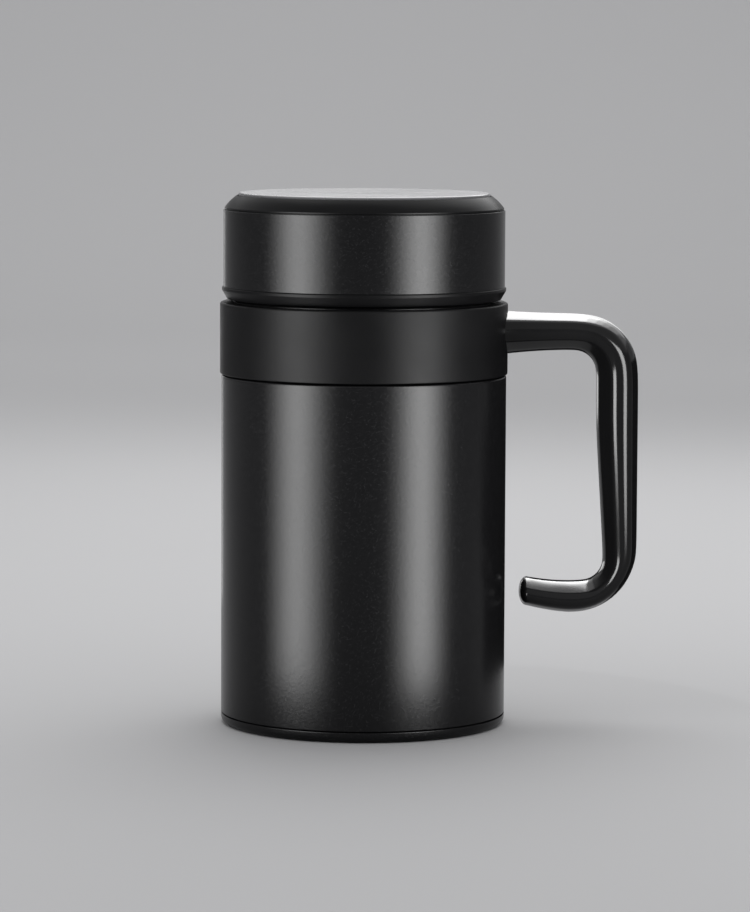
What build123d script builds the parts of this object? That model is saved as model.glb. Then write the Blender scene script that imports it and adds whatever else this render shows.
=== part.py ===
# Vacuum-insulated steel mug with a screw lid and a side handle
# The origin is on the mug's axis, at the surface that the mug stands on.
# +Z is up, and the handle is on +X. All lengths are in millimetres.

import os
from math import cos, radians, sin, sqrt

from build123d import *

os.makedirs("parts", exist_ok=True)

# Main sizes
body_radius = 44.2
body_height = 108.7  # painted body, up to its shoulder
collar_height = 22.1
lid_height = 32.8
lip_depth = 15.0  # from the lid's top down to the lip
handle_standoff = 41.0  # outer face of the grip, from the body
shell_wall = 0.5
liner_wall = 0.4
vacuum_gap = 2.7

# Fit of the collar and the lid
collar_gap = 0.4  # open line under the collar
collar_overhang = 0.4
lid_gap = 1.0  # open line between the collar and the lid
lid_inset = 0.6  # from the body's face

# Levels and radii that the pieces share
collar_bottom = body_height + collar_gap
collar_top = collar_bottom + collar_height
collar_radius = body_radius + collar_overhang
lid_bottom_height = collar_top + lid_gap
lid_radius = body_radius - lid_inset
mug_height = lid_bottom_height + lid_height
lip_height = mug_height - lip_depth

# Outer shell
neck_inset = 3.8  # from the body's face
neck_radius = body_radius - neck_inset
neck_step = 1.2
neck_step_rise = 0.2  # from the collar's top
neck_step_height = collar_top + neck_step_rise
thread_root_radius = neck_radius - neck_step
shoulder_bend_radius = 0.7
foot_rim_inset = 0.9  # swaged end, hidden in the base cover
foot_rim_radius = body_radius - foot_rim_inset
foot_rim_bottom = 1.8
groove_bottom = 3.2
groove_width = 0.5

# Inner liner
liner_radius = body_radius - shell_wall - vacuum_gap - liner_wall
lip_width = 2.2
mouth_radius = thread_root_radius - lip_width  # clear opening
liner_floor_height = 13.0
liner_floor_bend_radius = 9.0
liner_shoulder_drop = 2.7  # below the body's shoulder
liner_shoulder_slope = 8.0
liner_shoulder_top = body_height - liner_shoulder_drop
liner_shoulder_bottom = liner_shoulder_top - liner_shoulder_slope
liner_shoulder_bend_radius = 6.0
lip_bend_radius = 0.8

# Vacuum base, its port and the getter
vacuum_base_height = 5.4
vacuum_base_bend_radius = 1.5
port_dimple_radius = 6.4
port_dimple_rise = 1.8
port_radius = 1.2
port_seal_radius = 3.0
port_seal_thickness = 0.8
getter_radius = 5.0
getter_thickness = 1.6
getter_inset = 17.3  # its centre, from the foot rim
getter_distance = foot_rim_radius - getter_inset

# Base cover
cover_wall = 0.7
cover_edge_radius = 2.1
foot_groove_inset = 10.0
foot_groove_width = 5.2
foot_groove_outer_radius = body_radius - foot_groove_inset
foot_groove_inner_radius = foot_groove_outer_radius - foot_groove_width
foot_groove_depth = 0.6
foot_groove_slope = 1.2
foot_groove_bend_radius = 1.0

# Collar
collar_clearance = 0.2
collar_bore = neck_radius + collar_clearance
collar_top_chamfer = 0.7
collar_bottom_chamfer = 0.4

# Handle, seen from the side
handle_reach = body_radius + handle_standoff
handle_width = 18.0
handle_tip_width = 16.0
root_width = 26.0
root_margin = 8.7  # what the collar's height has over the root's
root_thickness = collar_height - root_margin
root_rise = 1.75  # from the middle of the collar
root_center_height = (collar_bottom + collar_top) / 2 + root_rise
arm_rise = 6.0
arm_top = root_center_height + arm_rise
arm_thickness = 11.3
grip_top_thickness = 13.0
grip_bottom_thickness = 10.4
grip_taper_length = 42.4  # up from the lower corner
upper_outer_radius = 17.8
upper_inner_radius = 7.0
hook_bottom = 34.5
hook_thickness = 10.0
hook_outer_radius = 20.1
hook_inner_radius = 7.1
hook_rise = 1.7
hook_tip_thickness = 8.9
tip_gap = 4.4  # between the body and the tip
tip_round = 2.4
section_round_share = 0.47  # corner radius of the section, as a share of its thickness
flare_shares = (0.0, 0.22, 0.5, 0.8)
corner_angles = (0, 18, 36, 54, 72, 90)
grip_shares = (0.1, 0.25, 0.4, 0.55, 0.7, 0.85)
hook_shares = (0.35, 0.7, 1.0)
tip_shares = (0.35, 0.65, 0.85, 0.95)

# Handle screws
screw_radius = 1.4
screw_head_radius = 2.6
screw_head_thickness = 1.7
screw_length = 10.0
screw_spacing = 6.4
screw_seat_depth = 2.4  # from the collar's bore
screw_seat = collar_bore + screw_seat_depth
screw_hole_clearance = 0.15
screw_heights = [root_center_height + side * screw_spacing / 2 for side in (-1, 1)]

# Thread between the neck and the lid, with two starts
thread_pitch = 4.0
thread_starts = 2
thread_lead = thread_pitch * thread_starts
thread_depth = 1.0
thread_clearance = 0.4
thread_sink = 0.3
thread_drop = 13.4  # from the lip down to where the neck's ridges start
ridge_base = 2.2
ridge_crest = 1.2
neck_ridge_low_end = lip_height - thread_drop
neck_ridge_turns = 0.8
neck_ridge_angle = 20  # where they start, from +X
lid_ridge_turns = 0.6
lid_ridge_angle = 60
ridge_lead_angle = lid_ridge_angle - neck_ridge_angle
# The lid's ridges lie midway between the neck's
lid_ridge_low_end = (
    neck_ridge_low_end + thread_pitch / 2 + thread_lead * ridge_lead_angle / 360
)
start_angles = [360 * start / thread_starts for start in range(thread_starts)]

# Lid core
skirt_radius = thread_root_radius + thread_depth + thread_clearance
gasket_space = 2.9
ceiling_bottom = lip_height + gasket_space
ceiling_thickness = 1.5
crown_height = 5.0
core_top = mug_height - crown_height
bead_height = 3.8
bead_overhang = 0.4
bead_slope = 1.6
bead_radius = lid_radius + bead_overhang
bead_foot_radius = bead_radius - bead_slope
bead_edge_height = 1.0
bead_edge_radius = 0.45
skirt_chamfer = 0.5

# Lid sleeve
sleeve_wall = 0.5
sleeve_line = 0.3  # open line between the sleeve and the bezel
core_radius = lid_radius - sleeve_wall
lid_sleeve_bottom = lid_bottom_height + bead_height

# Lid disc
disc_gap = 0.4
disc_wall = 0.6
disc_depth = 1.6
disc_rise = 0.8  # above the bezel
disc_edge_radius = 0.5
ledge_height = mug_height - disc_depth

# Bezel
bezel_inset = 0.4
bezel_radius = lid_radius - bezel_inset
bezel_edge_height = 0.4
bevel_run = 3.9
bezel_top_radius = bezel_radius - bevel_run
bezel_top = mug_height - disc_rise
bezel_spigot_depth = 3.0
bezel_spigot_clearance = 0.2
bezel_spigot_radius = skirt_radius - bezel_spigot_clearance
bezel_wall = 1.5
bezel_bore = bezel_spigot_radius - bezel_wall
bezel_ledge_width = 3.3
disc_radius = bezel_top_radius - disc_gap

# Foam
foam_clearance = 0.2
foam_bottom = ceiling_bottom + ceiling_thickness + foam_clearance
foam_top = ledge_height - bezel_wall - foam_clearance

# Inner cover
plug_inset = 1.6  # from the mouth
plug_radius = mouth_radius - plug_inset
plug_wall = 1.2
plug_clearance = 0.7
plug_lip_radius = mouth_radius - plug_clearance
plug_reach = 3.5  # below the lip
plug_edge = 1.4
plug_edge_height = 1.9
plug_lip_height = 1.4
cover_plug_bottom = lip_height - plug_reach
plug_lip_bottom = cover_plug_bottom + plug_edge_height
plug_lip_top = plug_lip_bottom + plug_lip_height

# Gasket
gasket_clearance = 0.4
gasket_rim_clearance = 1.0
gasket_play = 0.2
gasket_bore = plug_radius + gasket_clearance
gasket_radius = skirt_radius - gasket_rim_clearance
gasket_height = gasket_space - gasket_play * 2
gasket_round = 0.6

overrun = 2.0  # how far a cut runs past what it cuts


# One ridge of the thread, up a helix on a wall; outward is 1 on the neck and -1 in the lid
def thread_ridge(wall_radius, outward, low_end, turns, turned):
    with BuildPart() as ridge:
        with BuildLine() as path:
            Helix(thread_lead, thread_lead * turns, wall_radius, center=(0, 0, low_end))
        with BuildSketch(Plane(path.line @ 0, x_dir=(1, 0, 0), z_dir=path.line % 0)):
            with BuildLine():
                Polyline(
                    (-outward * thread_sink, -ridge_base / 2),
                    (-outward * thread_sink, ridge_base / 2),
                    (0, ridge_base / 2),
                    (outward * thread_depth, ridge_crest / 2),
                    (outward * thread_depth, -ridge_crest / 2),
                    (0, -ridge_base / 2),
                    close=True,
                )
            make_face()
        sweep(path=path.line, is_frenet=True)
    return ridge.part.rotate(Axis.Z, turned)


# Outer shell, with the neck that the lid screws on to
neck_ridges = [
    thread_ridge(
        thread_root_radius, 1, neck_ridge_low_end, neck_ridge_turns, turned + neck_ridge_angle
    )
    for turned in start_angles
]

with BuildPart() as outer_shell:
    with BuildSketch(Plane.XZ):
        with BuildLine():
            FilletPolyline(
                (foot_rim_radius, foot_rim_bottom),
                (foot_rim_radius, groove_bottom),
                (body_radius, groove_bottom + groove_width),
                (body_radius, body_height),
                (neck_radius, body_height),
                (neck_radius, neck_step_height),
                (thread_root_radius, neck_step_height + neck_step),
                (thread_root_radius, lip_height - liner_wall),
                radius=[0, 0, shoulder_bend_radius, shoulder_bend_radius, 0, 0],
            )
            offset(amount=shell_wall, side=Side.LEFT)
        make_face()
    revolve(axis=Axis.Z)
    add(neck_ridges)

# Inner liner, which turns out over the shell at the lip
with BuildPart() as inner_liner:
    with BuildSketch(Plane.XZ):
        with BuildLine():
            FilletPolyline(
                (0, liner_floor_height),
                (liner_radius, liner_floor_height),
                (liner_radius, liner_shoulder_bottom),
                (mouth_radius, liner_shoulder_top),
                (mouth_radius, lip_height),
                (thread_root_radius, lip_height),
                radius=[
                    liner_floor_bend_radius,
                    liner_shoulder_bend_radius,
                    liner_shoulder_bend_radius,
                    lip_bend_radius,
                ],
            )
            offset(amount=liner_wall, side=Side.RIGHT)
        make_face()
    revolve(axis=Axis.Z)

# Vacuum base, welded into the swaged end of the shell
with BuildPart() as vacuum_base:
    with BuildSketch(Plane.XZ):
        with BuildLine():
            FilletPolyline(
                (foot_rim_radius - shell_wall, foot_rim_bottom),
                (foot_rim_radius - shell_wall, vacuum_base_height),
                (port_dimple_radius + port_dimple_rise, vacuum_base_height),
                (port_dimple_radius, vacuum_base_height + port_dimple_rise),
                (port_radius, vacuum_base_height + port_dimple_rise),
                radius=[vacuum_base_bend_radius, 0, 0],
            )
            offset(amount=shell_wall, side=Side.LEFT)
        make_face()
    revolve(axis=Axis.Z)

with BuildPart() as vacuum_port_seal:
    with BuildSketch(Plane.XY.offset(vacuum_base_height + port_dimple_rise - shell_wall)):
        Circle(port_seal_radius)
    extrude(amount=-port_seal_thickness)

with BuildPart() as getter:
    with BuildSketch(Plane.XY.offset(vacuum_base_height)):
        with Locations((getter_distance, 0)):
            Circle(getter_radius)
    extrude(amount=getter_thickness)

# Base cover, which closes the bottom and gives the foot that the mug stands on
with BuildPart() as base_cover:
    with BuildSketch(Plane.XZ):
        with BuildLine():
            FilletPolyline(
                (0, 0),
                (foot_groove_inner_radius, 0),
                (foot_groove_inner_radius + foot_groove_slope, foot_groove_depth),
                (foot_groove_outer_radius - foot_groove_slope, foot_groove_depth),
                (foot_groove_outer_radius, 0),
                (body_radius, 0),
                (body_radius, groove_bottom),
                radius=[foot_groove_bend_radius] * 4 + [cover_edge_radius],
            )
            offset(amount=cover_wall, side=Side.LEFT)
        make_face()
    revolve(axis=Axis.Z)

# Collar around the neck, bored for the handle's screws
with BuildPart() as collar:
    with BuildSketch(Plane.XZ):
        with BuildLine():
            Polyline(
                (collar_bore, collar_bottom),
                (collar_radius - collar_bottom_chamfer, collar_bottom),
                (collar_radius, collar_bottom + collar_bottom_chamfer),
                (collar_radius, collar_top - collar_top_chamfer),
                (collar_radius - collar_top_chamfer, collar_top),
                (collar_bore, collar_top),
                close=True,
            )
        make_face()
    revolve(axis=Axis.Z)
    with BuildSketch(Plane.YZ.offset(screw_seat)):
        with Locations([(0, height) for height in screw_heights]):
            Circle(screw_head_radius + screw_hole_clearance)
    extrude(amount=-screw_seat_depth - overrun, mode=Mode.SUBTRACT)
    with BuildSketch(Plane.YZ.offset(screw_seat)):
        with Locations([(0, height) for height in screw_heights]):
            Circle(screw_radius + screw_hole_clearance)
    extrude(amount=collar_radius - screw_seat + overrun, mode=Mode.SUBTRACT)

# Handle: each station is an inner point, an outer point and a width
upper_outer_center = (handle_reach - upper_outer_radius, arm_top - upper_outer_radius)
upper_inner_center = (
    handle_reach - grip_top_thickness - upper_inner_radius,
    arm_top - arm_thickness - upper_inner_radius,
)
lower_outer_center = (handle_reach - hook_outer_radius, hook_bottom + hook_outer_radius)
lower_inner_center = (
    handle_reach - grip_bottom_thickness - hook_inner_radius,
    hook_bottom + hook_thickness + hook_inner_radius,
)
root_start = collar_radius - overrun
tip_end = body_radius + tip_gap


def arm_station(share):
    fade = (1 - share) ** 2
    reach = root_start + (upper_inner_center[0] - root_start) * share
    top = arm_top + (root_center_height + root_thickness / 2 - arm_top) * fade
    thickness = arm_thickness + (root_thickness - arm_thickness) * fade
    width = handle_width + (root_width - handle_width) * fade * fade
    return (reach, top - thickness), (reach, top), width


def corner_station(inner_center, inner_radius, outer_center, outer_radius, angle):
    across = sin(radians(angle))
    along = cos(radians(angle))
    inner = (inner_center[0] + inner_radius * across, inner_center[1] + inner_radius * along)
    outer = (outer_center[0] + outer_radius * across, outer_center[1] + outer_radius * along)
    return inner, outer, handle_width


def grip_station(share):
    height = upper_inner_center[1] + (lower_inner_center[1] - upper_inner_center[1]) * share
    fade = max(0, 1 - (height - lower_inner_center[1]) / grip_taper_length)
    thickness = grip_top_thickness + (grip_bottom_thickness - grip_top_thickness) * fade
    return (handle_reach - thickness, height), (handle_reach, height), handle_width


def hook_station(share):
    start = (lower_inner_center[0] + lower_outer_center[0]) / 2
    reach = start + (tip_end + tip_round - start) * share
    middle = hook_bottom + hook_thickness / 2 + hook_rise * share**2
    thickness = hook_thickness + (hook_tip_thickness - hook_thickness) * share
    width = handle_width + (handle_tip_width - handle_width) * share
    return (reach, middle + thickness / 2), (reach, middle - thickness / 2), width


def tip_station(share):
    reach = tip_end + tip_round * (1 - share)
    middle = hook_bottom + hook_thickness / 2 + hook_rise
    shrink = sqrt(1 - share**2)
    half = hook_tip_thickness * shrink / 2
    return (reach, middle + half), (reach, middle - half), handle_tip_width * shrink


upper_corner = (upper_inner_center, upper_inner_radius, upper_outer_center, upper_outer_radius)
lower_corner = (lower_inner_center, hook_inner_radius, lower_outer_center, hook_outer_radius)
handle_stations = (
    [arm_station(share) for share in flare_shares]
    + [corner_station(*upper_corner, angle) for angle in corner_angles]
    + [grip_station(share) for share in grip_shares]
    + [corner_station(*lower_corner, angle + 90) for angle in corner_angles]
    + [hook_station(share) for share in hook_shares]
    + [tip_station(share) for share in tip_shares]
)

with BuildPart() as handle:
    for inner, outer, width in handle_stations:
        run = outer[0] - inner[0]
        rise = outer[1] - inner[1]
        thickness = sqrt(run**2 + rise**2)
        middle = ((inner[0] + outer[0]) / 2, 0, (inner[1] + outer[1]) / 2)
        with BuildSketch(Plane(origin=middle, x_dir=(0, 1, 0), z_dir=(rise, 0, -run))):
            RectangleRounded(width, thickness, thickness * section_round_share)
    loft()
    with BuildSketch(Plane.XY.offset(collar_bottom)):
        Circle(collar_radius)
    extrude(amount=collar_top - collar_bottom, mode=Mode.SUBTRACT)
    with BuildSketch(Plane.YZ.offset(screw_seat)):
        with Locations([(0, height) for height in screw_heights]):
            Circle(screw_radius)
    extrude(amount=screw_length, mode=Mode.SUBTRACT)

# Screws that hold the handle, with their heads in the collar's bore
with BuildPart() as handle_screws:
    with BuildSketch(Plane.YZ.offset(screw_seat)):
        with Locations([(0, height) for height in screw_heights]):
            Circle(screw_radius)
    extrude(amount=screw_length)
    with BuildSketch(Plane.YZ.offset(screw_seat)):
        with Locations([(0, height) for height in screw_heights]):
            Circle(screw_head_radius)
    extrude(amount=-screw_head_thickness)

# Lid core: the threaded skirt, the ceiling over the mouth and the bead under the sleeve
lid_ridges = [
    thread_ridge(skirt_radius, -1, lid_ridge_low_end, lid_ridge_turns, turned + lid_ridge_angle)
    for turned in start_angles
]

with BuildPart() as lid_core:
    with BuildSketch(Plane.XZ):
        with BuildLine():
            Polyline(
                (0, ceiling_bottom),
                (skirt_radius, ceiling_bottom),
                (skirt_radius, lid_bottom_height + skirt_chamfer),
                (skirt_radius + skirt_chamfer, lid_bottom_height),
                (bead_foot_radius, lid_bottom_height),
                (bead_radius, lid_sleeve_bottom - bead_edge_height),
                (bead_radius, lid_sleeve_bottom),
                (core_radius, lid_sleeve_bottom),
                (core_radius, core_top),
                (skirt_radius, core_top),
                (skirt_radius, ceiling_bottom + ceiling_thickness),
                (0, ceiling_bottom + ceiling_thickness),
                close=True,
            )
        make_face()
    revolve(axis=Axis.Z)
    bead_edges = edges().filter_by(GeomType.CIRCLE).filter_by(lambda edge: edge.radius > lid_radius)
    fillet(bead_edges, radius=bead_edge_radius)
    add(lid_ridges)

with BuildPart() as lid_sleeve:
    with BuildSketch(Plane.XY.offset(lid_sleeve_bottom)):
        Circle(lid_radius)
        Circle(core_radius, mode=Mode.SUBTRACT)
    extrude(amount=core_top - sleeve_line - lid_sleeve_bottom)

# Bezel: the bevelled ring that holds the disc
with BuildPart() as lid_bezel:
    with BuildSketch(Plane.XZ):
        with BuildLine():
            Polyline(
                (bezel_bore, core_top - bezel_spigot_depth),
                (bezel_spigot_radius, core_top - bezel_spigot_depth),
                (bezel_spigot_radius, core_top),
                (bezel_radius, core_top),
                (bezel_radius, core_top + bezel_edge_height),
                (bezel_top_radius, bezel_top),
                (bezel_top_radius, ledge_height),
                (bezel_top_radius - bezel_ledge_width, ledge_height),
                (bezel_top_radius - bezel_ledge_width, ledge_height - bezel_wall),
                (bezel_bore, ledge_height - bezel_wall),
                close=True,
            )
        make_face()
    revolve(axis=Axis.Z)

with BuildPart() as lid_disc:
    with BuildSketch(Plane.XZ):
        with BuildLine():
            FilletPolyline(
                (0, mug_height),
                (disc_radius, mug_height),
                (disc_radius, ledge_height),
                radius=disc_edge_radius,
            )
            offset(amount=disc_wall, side=Side.RIGHT)
        make_face()
    revolve(axis=Axis.Z)

with BuildPart() as lid_foam:
    with BuildSketch(Plane.XY.offset(foam_bottom)):
        Circle(bezel_bore - foam_clearance)
    extrude(amount=foam_top - foam_bottom)

# Inner cover: the closed plug that enters the mouth and keeps the gasket on
with BuildPart() as lid_inner_cover:
    with BuildSketch(Plane.XZ):
        with BuildLine():
            Polyline(
                (0, cover_plug_bottom),
                (plug_lip_radius - plug_edge, cover_plug_bottom),
                (plug_lip_radius, plug_lip_bottom),
                (plug_lip_radius, plug_lip_top),
                (plug_radius, plug_lip_top),
                (plug_radius, ceiling_bottom),
                (plug_radius - plug_wall, ceiling_bottom),
                (plug_radius - plug_wall, cover_plug_bottom + plug_wall),
                (0, cover_plug_bottom + plug_wall),
                close=True,
            )
        make_face()
    revolve(axis=Axis.Z)

# Gasket between the ceiling and the lip
with BuildPart() as lid_gasket:
    with BuildSketch(Plane.XZ):
        with Locations(((gasket_bore + gasket_radius) / 2, (ceiling_bottom + lip_height) / 2)):
            RectangleRounded(gasket_radius - gasket_bore, gasket_height, gasket_round)
    revolve(axis=Axis.Z)

# One file for each piece
pieces = {
    "outer_shell": outer_shell,
    "inner_liner": inner_liner,
    "vacuum_base": vacuum_base,
    "vacuum_port_seal": vacuum_port_seal,
    "getter": getter,
    "base_cover": base_cover,
    "collar": collar,
    "handle": handle,
    "handle_screws": handle_screws,
    "lid_core": lid_core,
    "lid_sleeve": lid_sleeve,
    "lid_bezel": lid_bezel,
    "lid_disc": lid_disc,
    "lid_foam": lid_foam,
    "lid_inner_cover": lid_inner_cover,
    "lid_gasket": lid_gasket,
}
for name, piece in pieces.items():
    piece.part.label = name
    export_step(piece.part, f"parts/{name}.step")
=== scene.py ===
# Insulated steel mug with a screw lid: finer surfaces, finishes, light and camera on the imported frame
from math import cos, pi, radians, sin, sqrt, tan

import bmesh
import bpy
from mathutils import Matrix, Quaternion, Vector


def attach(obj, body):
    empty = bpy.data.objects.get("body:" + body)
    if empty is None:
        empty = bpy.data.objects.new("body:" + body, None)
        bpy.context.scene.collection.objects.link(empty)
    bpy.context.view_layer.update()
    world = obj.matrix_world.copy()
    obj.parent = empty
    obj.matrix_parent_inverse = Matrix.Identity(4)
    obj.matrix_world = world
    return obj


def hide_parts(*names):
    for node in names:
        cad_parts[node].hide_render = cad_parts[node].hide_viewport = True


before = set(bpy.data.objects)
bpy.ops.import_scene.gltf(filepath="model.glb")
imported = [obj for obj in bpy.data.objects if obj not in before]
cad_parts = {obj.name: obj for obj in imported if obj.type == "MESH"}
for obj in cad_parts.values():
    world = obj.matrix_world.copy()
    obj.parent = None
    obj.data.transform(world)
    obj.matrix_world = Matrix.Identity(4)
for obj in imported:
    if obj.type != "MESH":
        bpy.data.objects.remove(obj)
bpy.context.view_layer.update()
print("frame loaded,", len(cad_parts), "nodes")

mm = 0.001
scene = bpy.context.scene

# Finishes. Colours are linear, and sizes are in metres of the object.
paintLook = {"colour": (0.0012, 0.0012, 0.0013), "fleck": (0.008, 0.008, 0.0085), "grain": 0.00042,
             "roughness": 0.23, "spread": 0.03, "bump": 0.22, "gloss": 0.12}
collarLook = {"colour": (0.0012, 0.0012, 0.0013), "grain": 0.0005, "roughness": 0.40, "smear": 0.04,
              "bump": 0.22, "gloss": 0.052}
handleLook = {"colour": (0.002, 0.002, 0.0021), "roughness": 0.12, "smear": 0.03, "gloss": 0.16}
plasticLook = {"colour": (0.0012, 0.0012, 0.0013), "grain": 0.0006, "roughness": 0.34, "smear": 0.04,
               "bump": 0.08, "gloss": 0.05}
bezelLook = {"colour": (0.0015, 0.0015, 0.0016), "grain": 0.0005, "roughness": 0.30, "smear": 0.03,
             "bump": 0.05, "gloss": 0.06}
discLook = {"colour": (0.34, 0.34, 0.345), "roughness": 0.27, "line": 0.0005, "bump": 0.02}
steelLook = {"colour": (0.56, 0.55, 0.54), "roughness": 0.28, "line": 0.0003, "bump": 0.05}
rubberLook = {"colour": (0.62, 0.61, 0.58), "roughness": 0.55, "bump": 0.05}
foamLook = {"colour": (0.72, 0.70, 0.64), "roughness": 0.9, "bump": 0.4}


def startMaterial(name):
    material = bpy.data.materials.new(name)
    material.use_nodes = True
    tree = material.node_tree
    return material, tree, tree.nodes["Principled BSDF"]


def addNode(tree, kind, inputs=None, **settings):
    node = tree.nodes.new(kind)
    for key, value in settings.items():
        setattr(node, key, value)
    for key, value in (inputs or {}).items():
        node.inputs[key].default_value = value
    return node


def objectPoint(tree, stretch=(1, 1, 1)):
    place = addNode(tree, "ShaderNodeTexCoord")
    mapping = addNode(tree, "ShaderNodeMapping", {"Scale": stretch})
    tree.links.new(place.outputs["Object"], mapping.inputs["Vector"])
    return mapping.outputs["Vector"]


def noiseAt(tree, point, size, detail=2.0, roughness=0.5):
    noise = addNode(tree, "ShaderNodeTexNoise", {"Scale": 1 / size, "Detail": detail, "Roughness": roughness})
    tree.links.new(point, noise.inputs["Vector"])
    return noise.outputs["Fac"]


def mapped(tree, value, low, high, outLow, outHigh):
    node = addNode(tree, "ShaderNodeMapRange",
                   {"From Min": low, "From Max": high, "To Min": outLow, "To Max": outHigh})
    tree.links.new(value, node.inputs["Value"])
    return node.outputs["Result"]


def spreadRound(tree, value, low, high, middle, spread):
    return mapped(tree, value, low, high, middle - spread, middle + spread)


def mixedColour(tree, factor, first, second):
    node = addNode(tree, "ShaderNodeMix", data_type="RGBA")
    node.inputs["A"].default_value = (*first, 1)
    node.inputs["B"].default_value = (*second, 1)
    tree.links.new(factor, node.inputs["Factor"])
    return node.outputs["Result"]


def addBump(tree, shader, height, strength, distance):
    bump = addNode(tree, "ShaderNodeBump", {"Strength": strength, "Distance": distance})
    tree.links.new(height, bump.inputs["Height"])
    tree.links.new(bump.outputs["Normal"], shader.inputs["Normal"])


# Black paint with fine metallic flecks and a sandy touch
def speckledPaint(look):
    material, tree, shader = startMaterial("speckledPaint")
    point = objectPoint(tree)
    cells = addNode(tree, "ShaderNodeTexVoronoi", {"Scale": 1 / look["grain"], "Randomness": 1.0})
    tree.links.new(point, cells.inputs["Vector"])
    fleck = mapped(tree, cells.outputs["Distance"], 0.08, 0.34, 1.0, 0.0)
    patch = noiseAt(tree, point, look["grain"] * 2.2, 3.0, 0.6)
    share = addNode(tree, "ShaderNodeMath", operation="MULTIPLY")
    tree.links.new(fleck, share.inputs[0])
    tree.links.new(mapped(tree, patch, 0.42, 0.66, 0.0, 1.0), share.inputs[1])
    colour = mixedColour(tree, share.outputs["Value"], look["colour"], look["fleck"])
    tree.links.new(colour, shader.inputs["Base Color"])
    rough = spreadRound(tree, patch, 0.3, 0.7, look["roughness"], look["spread"])
    tree.links.new(rough, shader.inputs["Roughness"])
    shader.inputs["Specular IOR Level"].default_value = look["gloss"]
    addBump(tree, shader, patch, look["bump"], look["grain"] * 0.25)
    return material


# Moulded plastic with a fine etched grain
def mouldedPlastic(name, look):
    material, tree, shader = startMaterial(name)
    point = objectPoint(tree)
    grain = noiseAt(tree, point, look["grain"], 3.0, 0.6)
    cloud = noiseAt(tree, point, 0.02, 2.0)
    darker = tuple(value * 0.7 for value in look["colour"])
    tree.links.new(mixedColour(tree, grain, darker, look["colour"]), shader.inputs["Base Color"])
    rough = spreadRound(tree, cloud, 0.3, 0.7, look["roughness"], look["smear"])
    tree.links.new(rough, shader.inputs["Roughness"])
    shader.inputs["Specular IOR Level"].default_value = look["gloss"]
    addBump(tree, shader, grain, look["bump"], look["grain"] * 0.3)
    return material


# Polished black moulding, with the faint smears of handling
def glossyPlastic(look):
    material, tree, shader = startMaterial("glossyPlastic")
    point = objectPoint(tree, (1, 1, 0.5))
    smear = noiseAt(tree, point, 0.012, 4.0, 0.6)
    lighter = tuple(value * 1.6 for value in look["colour"])
    tree.links.new(mixedColour(tree, smear, look["colour"], lighter), shader.inputs["Base Color"])
    rough = mapped(tree, smear, 0.35, 0.75, look["roughness"], look["roughness"] + look["smear"])
    tree.links.new(rough, shader.inputs["Roughness"])
    shader.inputs["Specular IOR Level"].default_value = look["gloss"]
    addBump(tree, shader, noiseAt(tree, point, 0.006, 1.0), 0.04, 0.0001)
    return material


# Satin steel: fine straight lines, stretched along X
def satinSteel(name, look, stretch):
    material, tree, shader = startMaterial(name)
    shader.inputs["Metallic"].default_value = 1.0
    lines = noiseAt(tree, objectPoint(tree, stretch), look["line"], 2.0, 0.6)
    cloud = noiseAt(tree, objectPoint(tree), 0.025, 3.0)
    darker = tuple(value * 0.9 for value in look["colour"])
    tree.links.new(mixedColour(tree, lines, darker, look["colour"]), shader.inputs["Base Color"])
    rough = spreadRound(tree, cloud, 0.3, 0.7, look["roughness"], 0.03)
    tree.links.new(rough, shader.inputs["Roughness"])
    addBump(tree, shader, lines, look["bump"], 0.00002)
    return material


def siliconeRubber(look):
    material, tree, shader = startMaterial("siliconeRubber")
    cloud = noiseAt(tree, objectPoint(tree), 0.004, 3.0)
    darker = tuple(value * 0.88 for value in look["colour"])
    tree.links.new(mixedColour(tree, cloud, darker, look["colour"]), shader.inputs["Base Color"])
    shader.inputs["Roughness"].default_value = look["roughness"]
    shader.inputs["Subsurface Weight"].default_value = 0.15
    shader.inputs["Subsurface Scale"].default_value = 0.002
    addBump(tree, shader, cloud, look["bump"], 0.0001)
    return material


def cellFoam(look):
    material, tree, shader = startMaterial("cellFoam")
    point = objectPoint(tree)
    cells = addNode(tree, "ShaderNodeTexVoronoi", {"Scale": 900.0})
    tree.links.new(point, cells.inputs["Vector"])
    darker = tuple(value * 0.7 for value in look["colour"])
    colour = mixedColour(tree, cells.outputs["Distance"], darker, look["colour"])
    tree.links.new(colour, shader.inputs["Base Color"])
    shader.inputs["Roughness"].default_value = look["roughness"]
    addBump(tree, shader, cells.outputs["Distance"], look["bump"], 0.0004)
    return material


paint = speckledPaint(paintLook)
collarPlastic = mouldedPlastic("collarPlastic", collarLook)
lidPlastic = mouldedPlastic("lidPlastic", plasticLook)
handlePlastic = glossyPlastic(handleLook)
discSteel = satinSteel("discSteel", discLook, (0.04, 1, 1))
linerSteel = satinSteel("linerSteel", steelLook, (1, 1, 0.06))
bezelPlastic = mouldedPlastic("bezelPlastic", bezelLook)
silicone = siliconeRubber(rubberLook)
foam = cellFoam(foamLook)
print("finishes made")


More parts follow.
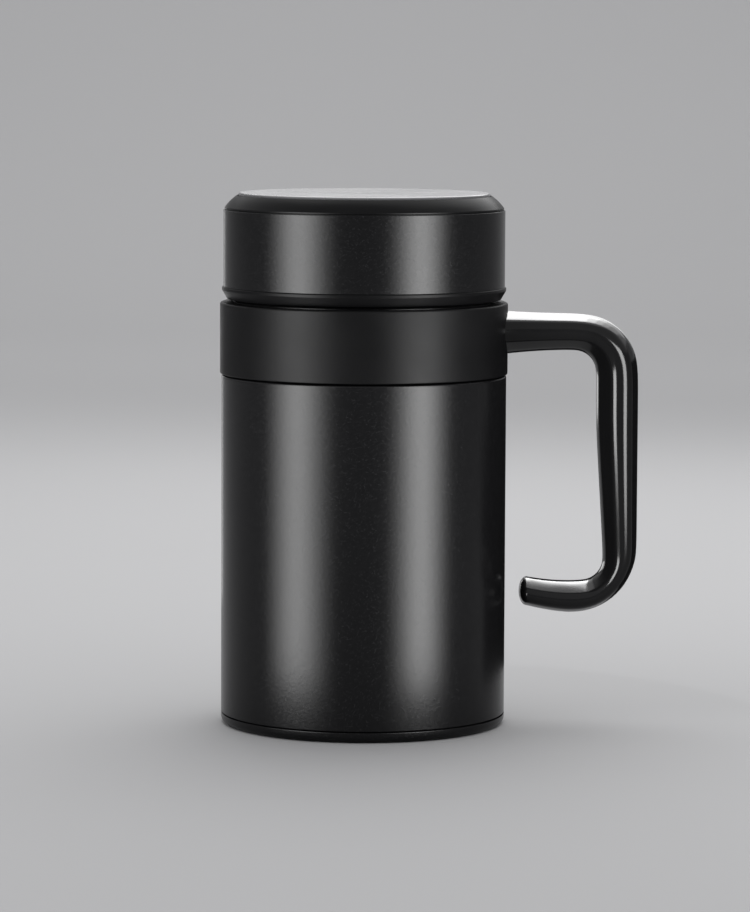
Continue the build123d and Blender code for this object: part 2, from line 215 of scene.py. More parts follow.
# A corner of a profile becomes an arc, with a support point just outside each end of it
def roundedProfile(points, steps=5):
    result = []
    count = len(points)
    for index, (reach, height, radius) in enumerate(points):
        here = Vector((reach, height))
        before = Vector(points[index - 1][:2])
        after = Vector(points[(index + 1) % count][:2])
        if radius == 0:
            result.append(here)
            continue
        toBefore = (before - here).normalized()
        toAfter = (after - here).normalized()
        half = toBefore.angle(toAfter) / 2
        reachBack = radius / tan(half)
        support = reachBack + radius * 0.4
        middle = here + (toBefore + toAfter).normalized() * radius / sin(half)
        start = here + toBefore * reachBack - middle
        end = here + toAfter * reachBack - middle
        turn = start.angle_signed(end)
        if (before - here).length > support * 2:
            result.append(here + toBefore * support)
        for step in range(steps + 1):
            angle = -turn * step / steps
            spun = Vector((start.x * cos(angle) - start.y * sin(angle),
                           start.x * sin(angle) + start.y * cos(angle)))
            result.append(middle + spun)
        if (after - here).length > support * 2:
            result.append(here + toAfter * support)
    return result


def finishMesh(name, vertices, faces, material):
    mesh = bpy.data.meshes.new(name)
    mesh.from_pydata(vertices, [], faces)
    mesh.validate()
    mesh.materials.append(material)
    mesh.shade_smooth()
    mesh.set_sharp_from_angle(angle=radians(38))
    piece = bpy.data.objects.new(name, mesh)
    scene.collection.objects.link(piece)
    return piece


# A closed profile in millimetres, listed anticlockwise in (reach, height), turned round the mug's axis
def turnedPiece(name, profile, material, aroundSteps=256):
    outline = [point * mm for point in roundedProfile(profile)]
    vertices = []
    rings = []
    for point in outline:
        if point.x < 1e-7:
            rings.append([len(vertices)] * aroundSteps)
            vertices.append((0, 0, point.y))
            continue
        rings.append(list(range(len(vertices), len(vertices) + aroundSteps)))
        for step in range(aroundSteps):
            angle = 2 * pi * step / aroundSteps
            vertices.append((point.x * cos(angle), point.x * sin(angle), point.y))
    faces = []
    for index, ring in enumerate(rings):
        upper = rings[(index + 1) % len(rings)]
        if ring[0] == ring[1] and upper[0] == upper[1]:
            continue
        for step in range(aroundSteps):
            following = (step + 1) % aroundSteps
            corners = [ring[step], ring[following], upper[following], upper[step]]
            face = [corner for place, corner in enumerate(corners) if corner != corners[place - 1]]
            faces.append(face)
    return finishMesh(name, vertices, faces, material)


# Painted shell, with the neck under the lid
shellSizes = {"radius": 44.2, "wall": 0.5, "rimRadius": 43.3, "rimBottom": 1.8, "grooveBottom": 3.2,
              "grooveTop": 3.7, "shoulder": 108.7, "neck": 40.4, "neckTop": 131.4, "threadRoot": 39.2,
              "threadFoot": 132.6, "top": 149.6, "bend": 0.7}


def makeShell(size):
    wall = size["wall"]
    profile = [
        (size["rimRadius"] - wall, size["rimBottom"], 0),
        (size["rimRadius"], size["rimBottom"], 0),
        (size["rimRadius"], size["grooveBottom"], 0),
        (size["radius"], size["grooveTop"], 0.15),
        (size["radius"], size["shoulder"], size["bend"]),
        (size["neck"], size["shoulder"], size["bend"]),
        (size["neck"], size["neckTop"], 0),
        (size["threadRoot"], size["threadFoot"], 0),
        (size["threadRoot"], size["top"], 0),
        (size["threadRoot"] - wall, size["top"], 0),
        (size["threadRoot"] - wall, size["threadFoot"] - wall / 2, 0),
        (size["neck"] - wall, size["neckTop"] - wall / 2, 0),
        (size["neck"] - wall, size["shoulder"] - wall, 0.2),
        (size["radius"] - wall, size["shoulder"] - wall, 0.2),
        (size["radius"] - wall, size["grooveTop"] + wall / 2, 0),
        (size["rimRadius"] - wall, size["grooveBottom"] + wall / 2, 0),
    ]
    return turnedPiece("paintedShell", profile, paint)


linerSizes = {"radius": 40.6, "wall": 0.4, "floor": 13.0, "floorBend": 9.0, "shoulderBottom": 98.0,
              "shoulderTop": 106.0, "mouth": 37.0, "lip": 150.0, "lipRadius": 39.2, "bend": 6.0,
              "lipBend": 0.8}


def makeLiner(size):
    wall = size["wall"]
    profile = [
        (0, size["floor"] - wall, 0),
        (size["radius"] + wall, size["floor"] - wall, size["floorBend"] + wall),
        (size["radius"] + wall, size["shoulderBottom"], size["bend"]),
        (size["mouth"] + wall, size["shoulderTop"], size["bend"]),
        (size["mouth"] + wall, size["lip"] - wall, size["lipBend"] - wall),
        (size["lipRadius"], size["lip"] - wall, 0),
        (size["lipRadius"], size["lip"], 0.15),
        (size["mouth"], size["lip"], size["lipBend"]),
        (size["mouth"], size["shoulderTop"], size["bend"]),
        (size["radius"], size["shoulderBottom"], size["bend"]),
        (size["radius"], size["floor"], size["floorBend"]),
        (0, size["floor"], 0),
    ]
    return turnedPiece("steelLiner", profile, linerSteel)


coverSizes = {"radius": 44.2, "wall": 0.7, "top": 3.2, "edge": 2.1, "grooveInner": 29.0, "grooveOuter": 34.2,
              "grooveDepth": 0.6, "grooveSlope": 1.2}


def makeBaseCover(size):
    inner = size["radius"] - size["wall"]
    profile = [
        (0, 0, 0),
        (size["grooveInner"], 0, 0.5),
        (size["grooveInner"] + size["grooveSlope"], size["grooveDepth"], 0.5),
        (size["grooveOuter"] - size["grooveSlope"], size["grooveDepth"], 0.5),
        (size["grooveOuter"], 0, 0.5),
        (size["radius"], 0, size["edge"]),
        (size["radius"], size["top"], 0.12),
        (inner, size["top"], 0),
        (inner, size["wall"], size["edge"] - size["wall"]),
        (size["grooveOuter"], size["wall"], 0.3),
        (size["grooveOuter"] - size["grooveSlope"], size["wall"] + size["grooveDepth"], 0.3),
        (size["grooveInner"] + size["grooveSlope"], size["wall"] + size["grooveDepth"], 0.3),
        (size["grooveInner"], size["wall"], 0.3),
        (0, size["wall"], 0),
    ]
    return turnedPiece("baseCover", profile, paint)


collarSizes = {"bore": 40.6, "radius": 44.6, "bottom": 109.1, "top": 131.2, "topEdge": 0.7, "bottomEdge": 0.4}


def makeCollar(size):
    profile = [
        (size["bore"], size["bottom"], 0.2),
        (size["radius"], size["bottom"], size["bottomEdge"]),
        (size["radius"], size["top"], size["topEdge"]),
        (size["bore"], size["top"], 0.3),
    ]
    return turnedPiece("neckCollar", profile, collarPlastic)


sleeveSizes = {"radius": 43.6, "wall": 0.5, "bottom": 136.0, "top": 159.7}


def makeSleeve(size):
    profile = [
        (size["radius"] - size["wall"], size["bottom"], 0),
        (size["radius"], size["bottom"], 0.15),
        (size["radius"], size["top"], 0.2),
        (size["radius"] - size["wall"], size["top"], 0),
    ]
    return turnedPiece("lidSleevePaint", profile, paint)


coreSizes = {"skirt": 40.6, "radius": 43.1, "bottom": 132.2, "beadFoot": 42.4, "bead": 44.0, "beadTop": 136.0,
             "beadEdge": 1.0, "top": 160.0, "ceiling": 152.9, "ceilingWall": 1.5, "chamfer": 0.5}


def makeCore(size):
    profile = [
        (0, size["ceiling"], 0),
        (size["skirt"], size["ceiling"], 0.3),
        (size["skirt"], size["bottom"] + size["chamfer"], 0.15),
        (size["skirt"] + size["chamfer"], size["bottom"], 0.15),
        (size["beadFoot"], size["bottom"], 0.35),
        (size["bead"], size["beadTop"] - size["beadEdge"], 0.45),
        (size["bead"], size["beadTop"], 0.4),
        (size["radius"], size["beadTop"], 0),
        (size["radius"], size["top"], 0.2),
        (size["skirt"], size["top"], 0),
        (size["skirt"], size["ceiling"] + size["ceilingWall"], 0.3),
        (0, size["ceiling"] + size["ceilingWall"], 0),
    ]
    return turnedPiece("threadedCore", profile, lidPlastic)


bezelSizes = {"radius": 43.2, "bottom": 160.0, "edge": 0.4, "topRadius": 39.3, "top": 164.2, "ledge": 163.4,
              "ledgeInner": 36.0, "wall": 1.5, "spigot": 40.4, "spigotBottom": 157.0, "bulge": 0.48,
              "bulgeRadius": 14.5}


def makeBezel(size):
    spigotInner = size["spigot"] - size["wall"]
    # The bevel is slightly crowned: a third point stands out from its middle
    low = Vector((size["radius"], size["bottom"] + size["edge"]))
    high = Vector((size["topRadius"], size["top"]))
    outward = Vector((high.y - low.y, low.x - high.x)).normalized()
    crown = (low + high) / 2 + outward * size["bulge"]
    profile = [
        (spigotInner, size["spigotBottom"], 0.15),
        (size["spigot"], size["spigotBottom"], 0.15),
        (size["spigot"], size["bottom"], 0),
        (size["radius"], size["bottom"], 0.1),
        (low.x, low.y, 0.3),
        (crown.x, crown.y, size["bulgeRadius"]),
        (high.x, high.y, 0.06),
        (size["topRadius"], size["ledge"], 0),
        (size["ledgeInner"], size["ledge"], 0.1),
        (size["ledgeInner"], size["ledge"] - size["wall"], 0.1),
        (spigotInner, size["ledge"] - size["wall"], 0),
    ]
    return turnedPiece("bevelledBezel", profile, bezelPlastic)


discSizes = {"radius": 38.9, "wall": 0.6, "top": 165.0, "bottom": 163.4, "edge": 0.5}


def makeDisc(size):
    inner = size["radius"] - size["wall"]
    profile = [
        (0, size["top"] - size["wall"], 0),
        (inner, size["top"] - size["wall"], 0.1),
        (inner, size["bottom"], 0),
        (size["radius"], size["bottom"], 0.1),
        (size["radius"], size["top"], size["edge"]),
        (0, size["top"], 0),
    ]
    return turnedPiece("topDisc", profile, discSteel)


gasketSizes = {"bore": 35.8, "radius": 39.6, "bottom": 150.2, "top": 152.7, "edge": 0.6}


def makeGasket(size):
    profile = [
        (size["bore"], size["bottom"], size["edge"]),
        (size["radius"], size["bottom"], size["edge"]),
        (size["radius"], size["top"], size["edge"]),
        (size["bore"], size["top"], size["edge"]),
    ]
    return turnedPiece("lipGasket", profile, silicone)


paintedShell = makeShell(shellSizes)
steelLiner = makeLiner(linerSizes)
baseCover = makeBaseCover(coverSizes)
neckCollar = makeCollar(collarSizes)
lidSleeve = makeSleeve(sleeveSizes)
threadedCore = makeCore(coreSizes)
bezel = makeBezel(bezelSizes)
disc = makeDisc(discSizes)
gasket = makeGasket(gasketSizes)
print("turned pieces made")

# Handle, from the same arcs and straight runs as the solid, with a ridge along its sides
handleSizes = {"reach": 85.2, "width": 18.0, "tipWidth": 16.0, "rootWidth": 20.5, "rootThickness": 13.4,
               "rootHeight": 121.9, "armTop": 127.9, "arm": 11.3, "gripTop": 13.0, "gripBottom": 10.4,
               "taperHeight": 94.0, "upperOuter": 17.8, "upperInner": 7.0, "hookBottom": 34.5, "hook": 10.0,
               "hookOuter": 20.1, "hookInner": 7.1, "hookRise": 1.7, "hookTip": 8.9, "tipEnd": 48.6,
               "tipRound": 2.4, "rootStart": 43.0}
sectionSizes = {"corner": 13.3, "outerSlope": 21, "innerSlope": 33, "ridge": 3.6, "outerCrown": 13.4,
                "innerCrown": 8.2}


def handleStations(size):
    upperOuter = Vector((size["reach"] - size["upperOuter"], size["armTop"] - size["upperOuter"]))
    upperInner = Vector((size["reach"] - size["gripTop"] - size["upperInner"],
                         size["armTop"] - size["arm"] - size["upperInner"]))
    lowerOuter = Vector((size["reach"] - size["hookOuter"], size["hookBottom"] + size["hookOuter"]))
    lowerInner = Vector((size["reach"] - size["gripBottom"] - size["hookInner"],
                         size["hookBottom"] + size["hook"] + size["hookInner"]))
    stations = []
    for step in range(13):
        share = step / 12
        fade = (1 - share) ** 2
        reach = size["rootStart"] + (upperInner.x - size["rootStart"]) * share
        top = size["armTop"] + (size["rootHeight"] + size["rootThickness"] / 2 - size["armTop"]) * fade
        thickness = size["arm"] + (size["rootThickness"] - size["arm"]) * fade
        width = size["width"] + (size["rootWidth"] - size["width"]) * fade * fade
        stations.append((Vector((reach, top - thickness)), Vector((reach, top)), width))

    def corner(inner, innerRadius, outer, outerRadius, firstAngle):
        for step in range(1, 16):
            angle = radians(firstAngle + 90 * step / 16)
            way = Vector((sin(angle), cos(angle)))
            stations.append((inner + way * innerRadius, outer + way * outerRadius, size["width"]))

    corner(upperInner, size["upperInner"], upperOuter, size["upperOuter"], 0)
    for step in range(21):
        height = upperInner.y + (lowerInner.y - upperInner.y) * step / 20
        fade = max(0, size["taperHeight"] - height) / (size["taperHeight"] - lowerInner.y)
        thickness = size["gripTop"] + (size["gripBottom"] - size["gripTop"]) * fade
        inner = Vector((size["reach"] - thickness, height))
        stations.append((inner, Vector((size["reach"], height)), size["width"]))
    corner(lowerInner, size["hookInner"], lowerOuter, size["hookOuter"], 90)
    start = (lowerInner.x + lowerOuter.x) / 2
    for step in range(1, 13):
        share = step / 12
        reach = start + (size["tipEnd"] + size["tipRound"] - start) * share
        middle = size["hookBottom"] + size["hook"] / 2 + size["hookRise"] * share**2
        half = (size["hook"] + (size["hookTip"] - size["hook"]) * share) / 2
        width = size["width"] + (size["tipWidth"] - size["width"]) * share
        stations.append((Vector((reach, middle + half)), Vector((reach, middle - half)), width))
    for step in range(1, 10):
        share = sin(pi / 2 * step / 9.15)
        shrink = sqrt(1 - share**2)
        reach = size["tipEnd"] + size["tipRound"] * (1 - share)
        middle = size["hookBottom"] + size["hook"] / 2 + size["hookRise"]
        half = size["hookTip"] * shrink / 2
        width = size["tipWidth"] * shrink
        stations.append((Vector((reach, middle + half)), Vector((reach, middle - half)), width))
    return stations


def smoothedStations(stations, rounds, keptEnds):
    for _ in range(rounds):
        softened = list(stations)
        for index in range(1, len(stations) - keptEnds):
            before, here, after = stations[index - 1], stations[index], stations[index + 1]
            softened[index] = (
                (before[0] + after[0]) / 4 + here[0] / 2,
                (before[1] + after[1]) / 4 + here[1] / 2,
                (before[2] + after[2]) / 4 + here[2] / 2,
            )
        stations = softened
    return stations


# Section across the handle: two crowned sides that meet at a rounded ridge in front and behind,
# as shares of the half thickness and the half width
def handleSection(size):
    corners = [
        (0, size["corner"] * tan(radians(size["outerSlope"])), size["outerCrown"]),
        (size["corner"], 0, size["ridge"]),
        (0, -size["corner"] * tan(radians(size["innerSlope"])), size["innerCrown"]),
        (-size["corner"], 0, size["ridge"]),
    ]
    outline = roundedProfile(corners, 20)
    widest = max(point.x for point in outline)
    highest = max(point.y for point in outline)
    lowest = min(point.y for point in outline)
    return [((2 * point.y - highest - lowest) / (highest - lowest), point.x / widest) for point in outline]


def makeHandle(size, section):
    stations = smoothedStations(handleStations(size), 6, 10)
    ringSteps = len(section)
    vertices = []
    for inner, outer, width in stations:
        middle = (inner + outer) / 2
        across = (outer - inner) / 2
        for side, depth in section:
            place = middle + across * side
            vertices.append((place.x * mm, depth * width / 2 * mm, place.y * mm))
    faces = []
    for index in range(len(stations) - 1):
        for step in range(ringSteps):
            following = (step + 1) % ringSteps
            first = index * ringSteps
            second = first + ringSteps
            faces.append((first + step, second + step, second + following, first + following))
    faces.append(tuple(range(ringSteps)))
    faces.append(tuple(reversed(range(len(vertices) - ringSteps, len(vertices)))))
    return finishMesh("mouldedHandle", vertices, faces, handlePlastic)


handle = makeHandle(handleSizes, handleSection(sectionSizes))
print("handle made")

# Thread ridges: a tree of geometry nodes that runs a trapezoid up a helix, once for each start
threadSizes = {"lead": 8.0, "starts": 2, "depth": 1.0, "sink": 0.3, "base": 2.2, "crest": 1.2,
               "runout": 0.07, "endShare": 0.25}
neckThread = {"wallRadius": 39.2, "outward": 1, "lowEnd": 136.6, "turns": 0.8, "startAngle": 20}
lidThread = {"wallRadius": 40.6, "outward": -1, "turns": 0.6, "startAngle": 60}
# The lid's ridges lie midway between the neck's
halfPitch = threadSizes["lead"] / threadSizes["starts"] / 2
aheadShare = (lidThread["startAngle"] - neckThread["startAngle"]) / 360
lidThread["lowEnd"] = neckThread["lowEnd"] + halfPitch + threadSizes["lead"] * aheadShare


def treeSocket(tree, name, kind, value=None):
    socket = tree.interface.new_socket(name, in_out="INPUT", socket_type=kind)
    if value is not None:
        socket.default_value = value
    return socket


def linkMath(tree, operation, first, second):
    node = addNode(tree, "ShaderNodeMath", operation=operation)
    for slot, value in enumerate((first, second)):
        if isinstance(value, (int, float)):
            node.inputs[slot].default_value = value
        else:
            tree.links.new(value, node.inputs[slot])
    return node.outputs["Value"]


def buildThreadTree():
    tree = bpy.data.node_groups.new("threadRidges", "GeometryNodeTree")
    for name in ("Wall radius", "Lead", "Turns", "Low end", "Start angle", "Base width", "Crest width",
                 "Depth", "Sink", "Runout", "End share"):
        treeSocket(tree, name, "NodeSocketFloat", 0.0)
    treeSocket(tree, "Outward", "NodeSocketFloat", 1.0)
    treeSocket(tree, "Starts", "NodeSocketInt", 2)
    treeSocket(tree, "Material", "NodeSocketMaterial")
    tree.interface.new_socket("Geometry", in_out="OUTPUT", socket_type="NodeSocketGeometry")
    given = addNode(tree, "NodeGroupInput").outputs
    # Points up the helix, each with its angle
    rows = addNode(tree, "GeometryNodeMeshGrid",
                   {"Size X": 1.0, "Size Y": 1.0, "Vertices X": 97, "Vertices Y": 5})
    place = addNode(tree, "GeometryNodeInputPosition")
    split = addNode(tree, "ShaderNodeSeparateXYZ")
    tree.links.new(place.outputs["Position"], split.inputs["Vector"])
    share = linkMath(tree, "ADD", split.outputs["X"], 0.5)
    # The section's corners are numbered 0 to 4, and the last is the first again
    acrossShare = linkMath(tree, "ADD", split.outputs["Y"], 0.5)
    corner = linkMath(tree, "ROUND", linkMath(tree, "MULTIPLY", acrossShare, 4.0), 0.0)
    isCrest = linkMath(tree, "MULTIPLY",
                       linkMath(tree, "GREATER_THAN", corner, 0.5), linkMath(tree, "LESS_THAN", corner, 2.5))
    isUpper = linkMath(tree, "MULTIPLY",
                       linkMath(tree, "GREATER_THAN", corner, 1.5), linkMath(tree, "LESS_THAN", corner, 3.5))
    side = linkMath(tree, "SUBTRACT", linkMath(tree, "MULTIPLY", isUpper, 2.0), 1.0)
    narrower = linkMath(tree, "SUBTRACT", given["Crest width"], given["Base width"])
    width = linkMath(tree, "ADD", given["Base width"], linkMath(tree, "MULTIPLY", isCrest, narrower))
    rise = linkMath(tree, "MULTIPLY", linkMath(tree, "MULTIPLY", side, width), 0.5)
    # The ridge runs out into the wall at both ends
    nearEnd = linkMath(tree, "MINIMUM", share, linkMath(tree, "SUBTRACT", 1.0, share))
    fade = linkMath(tree, "MINIMUM", linkMath(tree, "DIVIDE", nearEnd, given["Runout"]), 1.0)
    fade = linkMath(tree, "MAXIMUM", fade, given["End share"])
    standing = linkMath(tree, "MULTIPLY", linkMath(tree, "ADD", given["Depth"], given["Sink"]), fade)
    out = linkMath(tree, "SUBTRACT", linkMath(tree, "MULTIPLY", isCrest, standing), given["Sink"])
    radius = linkMath(tree, "ADD", given["Wall radius"], linkMath(tree, "MULTIPLY", out, given["Outward"]))
    turned = linkMath(tree, "MULTIPLY", share, given["Turns"])
    angle = linkMath(tree, "ADD", linkMath(tree, "MULTIPLY", turned, 2 * pi), given["Start angle"])
    climb = linkMath(tree, "MULTIPLY", turned, given["Lead"])
    height = linkMath(tree, "ADD", linkMath(tree, "ADD", given["Low end"], climb), rise)
    joined = addNode(tree, "ShaderNodeCombineXYZ")
    for axis, operation in (("X", "COSINE"), ("Y", "SINE")):
        part = linkMath(tree, operation, angle, 0.0)
        tree.links.new(linkMath(tree, "MULTIPLY", radius, part), joined.inputs[axis])
    tree.links.new(height, joined.inputs["Z"])
    moved = addNode(tree, "GeometryNodeSetPosition")
    tree.links.new(rows.outputs["Mesh"], moved.inputs["Geometry"])
    tree.links.new(joined.outputs["Vector"], moved.inputs["Position"])
    # One copy for each start, turned evenly round the axis
    line = addNode(tree, "GeometryNodeMeshLine", {"Offset": (0, 0, 0)})
    tree.links.new(given["Starts"], line.inputs["Count"])
    copies = addNode(tree, "GeometryNodeInstanceOnPoints")
    tree.links.new(line.outputs["Mesh"], copies.inputs["Points"])
    tree.links.new(moved.outputs["Geometry"], copies.inputs["Instance"])
    number = addNode(tree, "GeometryNodeInputIndex")
    fullTurns = linkMath(tree, "MULTIPLY", number.outputs["Index"], 2 * pi)
    spin = linkMath(tree, "DIVIDE", fullTurns, given["Starts"])
    spinVector = addNode(tree, "ShaderNodeCombineXYZ")
    tree.links.new(spin, spinVector.inputs["Z"])
    toRotation = addNode(tree, "FunctionNodeEulerToRotation")
    tree.links.new(spinVector.outputs["Vector"], toRotation.inputs["Euler"])
    tree.links.new(toRotation.outputs["Rotation"], copies.inputs["Rotation"])
    real = addNode(tree, "GeometryNodeRealizeInstances")
    tree.links.new(copies.outputs["Instances"], real.inputs["Geometry"])
    finish = addNode(tree, "GeometryNodeSetMaterial")
    tree.links.new(real.outputs["Geometry"], finish.inputs["Geometry"])
    tree.links.new(given["Material"], finish.inputs["Material"])
    result = addNode(tree, "NodeGroupOutput")
    tree.links.new(finish.outputs["Geometry"], result.inputs["Geometry"])
    return tree


threadTree = buildThreadTree()


def setInput(modifier, name, value):
    for item in modifier.node_group.interface.items_tree:
        if item.item_type == "SOCKET" and item.in_out == "INPUT" and item.name == name:
            modifier[item.identifier] = value


def makeThread(name, thread, size, material):
    holder = bpy.data.objects.new(name, bpy.data.meshes.new(name))
    scene.collection.objects.link(holder)
    modifier = holder.modifiers.new("threadRidges", "NODES")
    modifier.node_group = threadTree
    values = {
        "Wall radius": thread["wallRadius"] * mm,
        "Lead": size["lead"] * mm,
        "Turns": thread["turns"],
        "Low end": thread["lowEnd"] * mm,
        "Start angle": radians(thread["startAngle"]),
        "Base width": size["base"] * mm,
        "Crest width": size["crest"] * mm,
        "Depth": size["depth"] * mm,
        "Sink": size["sink"] * mm,
        "Runout": size["runout"],
        "End share": size["endShare"],
        "Outward": float(thread["outward"]),
        "Starts": size["starts"],
        "Material": material,
    }
    for key, value in values.items():
        setInput(modifier, key, value)
    holder.update_tag()
    bpy.context.view_layer.update()
    evaluated = holder.evaluated_get(bpy.context.evaluated_depsgraph_get())
    mesh = bpy.data.meshes.new_from_object(evaluated)
    holder.modifiers.remove(modifier)
    work = bmesh.new()
    work.from_mesh(mesh)
    bmesh.ops.remove_doubles(work, verts=work.verts, dist=1e-6)
    bmesh.ops.holes_fill(work, edges=work.edges)
    bmesh.ops.recalc_face_normals(work, faces=work.faces)
    work.to_mesh(mesh)
    work.free()
    mesh.shade_smooth()
    mesh.set_sharp_from_angle(angle=radians(38))
    holder.data = mesh
    return holder


neckRidges = makeThread("neckThread", neckThread, threadSizes, paint)
lidRidges = makeThread("lidThread", lidThread, threadSizes, lidPlastic)
print("threads made:", len(neckRidges.data.polygons), len(lidRidges.data.polygons), "faces")

# Finishes of the solids that stay as they are
nodeFinish = {"vacuum_base": linerSteel, "vacuum_port_seal": silicone, "getter": linerSteel,
              "handle_screws": linerSteel, "lid_foam": foam, "lid_inner_cover": lidPlastic}
for nodeName, finish in nodeFinish.items():
    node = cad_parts[nodeName]
    node.data.materials.clear()
    node.data.materials.append(finish)

# What each piece rides on, stands for and is made of
ridingPieces = [
    (paintedShell, "mug", "outer_shell", "painted_steel"),
    (steelLiner, "mug", "inner_liner", "bare_steel"),
    (baseCover, "mug", "base_cover", "painted_steel"),
    (neckCollar, "mug", "collar", "collar_plastic"),
    (handle, "mug", "handle", "handle_plastic"),
    (neckRidges, "mug", None, "painted_steel"),
    (lidSleeve, "lid", "lid_sleeve", "painted_steel"),
    (threadedCore, "lid", "lid_core", "lid_plastic"),
    (bezel, "lid", "lid_bezel", "lid_plastic"),
    (disc, "lid", "lid_disc", "brushed_steel"),
    (lidRidges, "lid", None, "lid_plastic"),
    (gasket, "lid_seal", "lid_gasket", "silicone"),
]
for piece, body, node, slot in ridingPieces:
    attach(piece, body)
    if node:
        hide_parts(node)
print("pieces ride on their bodies")

# Round floor that sweeps up into a backdrop on every side
studio = {"colour": (0.46, 0.46, 0.465), "radius": 2.4, "bend": 0.7, "height": 0.9, "firstRing": 0.3,
          "cloud": 0.4, "darker": 0.97, "roughness": 0.85}


def makeSweep(size, aroundSteps=96, bendSteps=16):
    start = size["radius"] - size["bend"]
    line = [(size["firstRing"], 0.0), (start, 0.0)]
    for step in range(1, bendSteps + 1):
        angle = pi / 2 * step / bendSteps
        line.append((start + size["bend"] * sin(angle), size["bend"] * (1 - cos(angle))))
    line.append((size["radius"], size["height"]))
    vertices = [(0, 0, 0)]
    for reach, height in line:
        for step in range(aroundSteps):
            angle = 2 * pi * step / aroundSteps
            vertices.append((reach * cos(angle), reach * sin(angle), height))
    faces = []
    for step in range(aroundSteps):
        following = (step + 1) % aroundSteps
        faces.append((0, 1 + step, 1 + following))
        for ring in range(len(line) - 1):
            inner = 1 + ring * aroundSteps
            outer = inner + aroundSteps
            faces.append((inner + step, outer + step, outer + following, inner + following))
    material, tree, shader = startMaterial("paleSweep")
    cloud = noiseAt(tree, objectPoint(tree), size["cloud"])
    darker = tuple(value * size["darker"] for value in size["colour"])
    tree.links.new(mixedColour(tree, cloud, darker, size["colour"]), shader.inputs["Base Color"])
    shader.inputs["Roughness"].default_value = size["roughness"]
    return finishMesh("paleSweep", vertices, faces, material)


sweep = makeSweep(studio)

# A dark card in an arc round the mug's right side, behind the handle, as painted shade: only reflections show
# it, and it darkens the reflections on the mug's right side
shadeCardSizes = {"radius": 0.13, "bottom": 0.0005, "height": 0.118, "start": 98, "end": 166, "roughness": 0.9,
             "colour": (0.004, 0.004, 0.004), "lighter": (0.006, 0.006, 0.006), "cloud": 0.02}


def makeShadeCard(size, steps=24):
    vertices = []
    for step in range(steps + 1):
        angle = radians(size["start"] + (size["end"] - size["start"]) * step / steps)
        for height in (size["bottom"], size["height"]):
            vertices.append((size["radius"] * sin(angle), -size["radius"] * cos(angle), height))
    faces = [(2 * step, 2 * step + 2, 2 * step + 3, 2 * step + 1) for step in range(steps)]
    # Painted shade for reflections only: a near-black sheet
    material, tree, shader = startMaterial("reflectedShadeCard")
    cloud = noiseAt(tree, objectPoint(tree), size["cloud"])
    colour = mixedColour(tree, cloud, size["colour"], size["lighter"])
    tree.links.new(colour, shader.inputs["Base Color"])
    shader.inputs["Roughness"].default_value = size["roughness"]
    card = finishMesh("reflectedShadeCard", vertices, faces, material)
    card.visible_camera = False
    card.visible_diffuse = False
    card.visible_shadow = False
    return card


makeShadeCard(shadeCardSizes)

# Lamps: an arc of strips on each side in front, a thin strip behind on the left, a panel behind and above,
# and one for the backdrop. The handle has its own. Angles are in degrees round the mug,
# from the camera's side towards +X.
mugMiddle = Vector((0, 0, 0.1))
armMiddle = Vector((0.07, 0, 0.13))
lamps = {
    "leftRim": {"place": (-0.122, 0.275, 0.1), "size": (0.035, 0.2), "power": 0.0085, "aim": mugMiddle,
                "spread": 120, "only": "round"},
    "topPanel": {"place": (0.12, 0.475, 0.74), "size": (0.9, 1.1), "power": 3.6, "aim": mugMiddle,
                 "spread": 150},
    "armBack": {"place": (0.12, 0.9, 0.42), "size": (0.5, 0.5), "power": 1.1, "aim": armMiddle, "spread": 150,
                "only": "handle"},
    "gripSide": {"place": (-0.45, 0.75, 0.06), "size": (0.4, 0.4), "power": 1.2, "aim": (0.07, 0, 0.06),
                 "spread": 150, "only": "handle"},
    "gripLeft": {"place": (-0.337, -0.432, 0.15), "size": (0.255, 0.3), "power": 5.2, "aim": (0.08, 0, 0.08),
                 "spread": 150, "only": "handle"},
    "gripRight": {"place": (0.42, -0.49, 0.15), "size": (0.255, 0.3), "power": 4.4, "aim": (0.08, 0, 0.08),
                  "spread": 150, "only": "handle"},
    "backdropLight": {"place": (0.0, 0.8, 1.8), "size": (0.7, 0.4), "power": 2.4, "aim": (0, 2.0, 0.15),
                      "spread": 90},
}
# Each arc's strips are brightest in the middle, so that the bands on the paint have soft edges
stripArcs = {
    "leftStrip": {"angle": -46.6, "step": 6.9, "power": 0.74},
    "rightStrip": {"angle": 40.5, "step": 6.1, "power": 0.79},
}
stripSizes = {"distance": 0.15, "height": 0.11, "width": 0.0195, "tall": 0.22, "spread": 150}
stripShares = (0.035, 0.115, 0.215, 0.27, 0.215, 0.115, 0.035)
for name, arc in stripArcs.items():
    for index, share in enumerate(stripShares):
        angle = radians(arc["angle"] + arc["step"] * (index - len(stripShares) // 2))
        place = (stripSizes["distance"] * sin(angle), -stripSizes["distance"] * cos(angle),
                 stripSizes["height"])
        lamps[f"{name}{index}"] = {"place": place, "size": (stripSizes["width"], stripSizes["tall"]),
                                   "power": arc["power"] * share, "aim": (0, 0, stripSizes["height"]),
                                   "spread": stripSizes["spread"], "only": "round"}
# The panel over the arm fades to the right, so that its reflection fades round the handle's corner
armPanel = {"left": -0.06, "step": 0.11, "back": 0.62, "height": 0.80, "tall": 0.56, "power": 2.2}
armPanelShares = (1.0, 1.0, 0.8, 0.5, 0.25, 0.1)
for index, share in enumerate(armPanelShares):
    side = armPanel["left"] + armPanel["step"] * index
    lamps[f"armPanel{index}"] = {"place": (side, armPanel["back"], armPanel["height"]),
                                 "size": (armPanel["step"], armPanel["tall"]),
                                 "power": armPanel["power"] * share,
                                 "aim": (side, 0, armMiddle.z), "spread": 150, "only": "handle"}

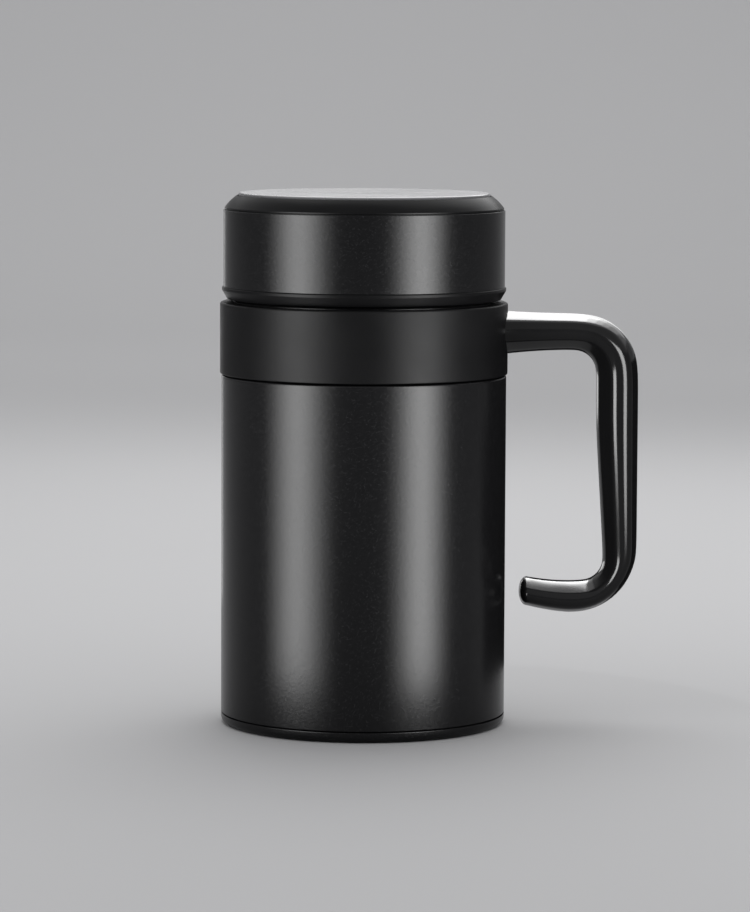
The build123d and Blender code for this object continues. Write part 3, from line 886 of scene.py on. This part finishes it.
# Some lamps light only a part of the scene: the disc keeps to the lamps that light everything
litPieces = {
    "handle": [handle],
    "round": [piece for piece, *_ in ridingPieces if piece not in (handle, disc)]
             + [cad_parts[nodeName] for nodeName in nodeFinish],
}
litCollections = {}
for name, pieces in litPieces.items():
    litCollections[name] = bpy.data.collections.new(name + "Lit")
    for piece in pieces:
        litCollections[name].objects.link(piece)
for name, lamp in lamps.items():
    light = bpy.data.lights.new(name, "AREA")
    light.shape = "RECTANGLE"
    light.size, light.size_y = lamp["size"]
    light.energy = lamp["power"]
    light.spread = radians(lamp["spread"])
    holder = bpy.data.objects.new(name, light)
    holder.location = lamp["place"]
    holder.visible_camera = False
    holder.rotation_mode = "QUATERNION"
    holder.rotation_quaternion = (Vector(lamp["place"]) - Vector(lamp["aim"])).to_track_quat("Z", "Y")
    scene.collection.objects.link(holder)
    if "only" in lamp:
        holder.light_linking.receiver_collection = litCollections[lamp["only"]]

world = bpy.data.worlds.new("studioWorld")
world.use_nodes = True
world.node_tree.nodes["Background"].inputs["Color"].default_value = (0.8, 0.8, 0.81, 1)
world.node_tree.nodes["Background"].inputs["Strength"].default_value = 1.0
scene.world = world
scene.view_settings.view_transform = "Standard"

# Camera at the photograph's place: its focal length is in pixels of a picture 912 high
photo = {"height": 912, "focal": 4245, "sensor": 36.0, "distance": 1.3135, "cameraHeight": 0.2135,
         "aimSide": 0.0036, "aimHeight": 0.0832, "roll": 0.25}
cameraData = bpy.data.cameras.new("photoCamera")
cameraData.sensor_width = photo["sensor"]
cameraData.lens = photo["focal"] * photo["sensor"] / photo["height"]
cameraData.clip_start, cameraData.clip_end = 0.05, 20
camera = bpy.data.objects.new("photoCamera", cameraData)
camera.location = (0, -photo["distance"], photo["cameraHeight"])
aim = Vector((photo["aimSide"], 0, photo["aimHeight"])) - camera.location
camera.rotation_mode = "QUATERNION"
camera.rotation_quaternion = aim.to_track_quat("-Z", "Y") @ Quaternion((0, 0, 1), radians(photo["roll"]))
scene.collection.objects.link(camera)
scene.camera = camera
print("light and camera set")
